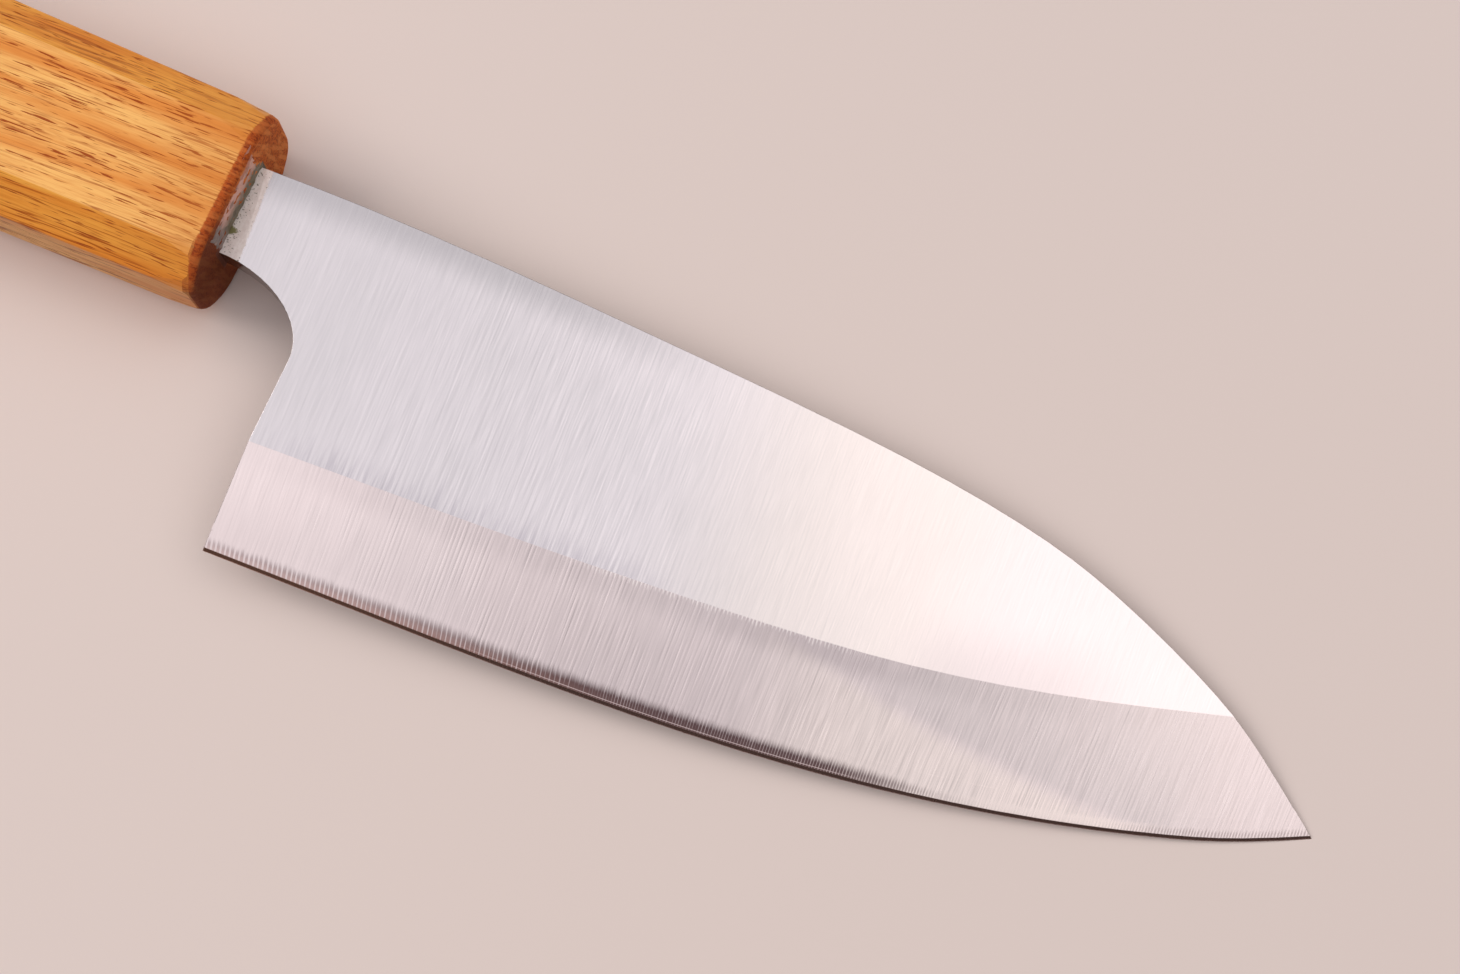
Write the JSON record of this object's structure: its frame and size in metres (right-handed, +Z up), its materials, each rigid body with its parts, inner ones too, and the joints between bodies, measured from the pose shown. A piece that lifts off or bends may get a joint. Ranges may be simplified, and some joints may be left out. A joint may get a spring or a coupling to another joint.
{
  "type": "deba knife",
  "caption": "Heavy single-bevel fish knife with a wide blade, a deep heel notch and an octagonal wooden handle.",
  "frame": {"origin": "centre of the knife's plan extent, on the surface that it lies on", "axes": "+X from the butt of the handle towards the tip, +Y towards the spine, +Z up out of the bevelled face, with the knife lying on its tip and on the front edge of the handle's lower flat"},
  "size_m": [0.291, 0.0576, 0.0271],
  "materials": {
    "soft_iron": "satin, ground across the blade",
    "hard_steel": "satin, honed on stones",
    "oak": "oiled, open pores",
    "resin": "cured resin, slightly rough"
  },
  "bodies": {
    "root": {"iron_body": "soft_iron", "steel_layer": "hard_steel", "handle": "oak", "tang_resin": "resin", "mouth_seal": "resin"}
  },
  "joints": []
}
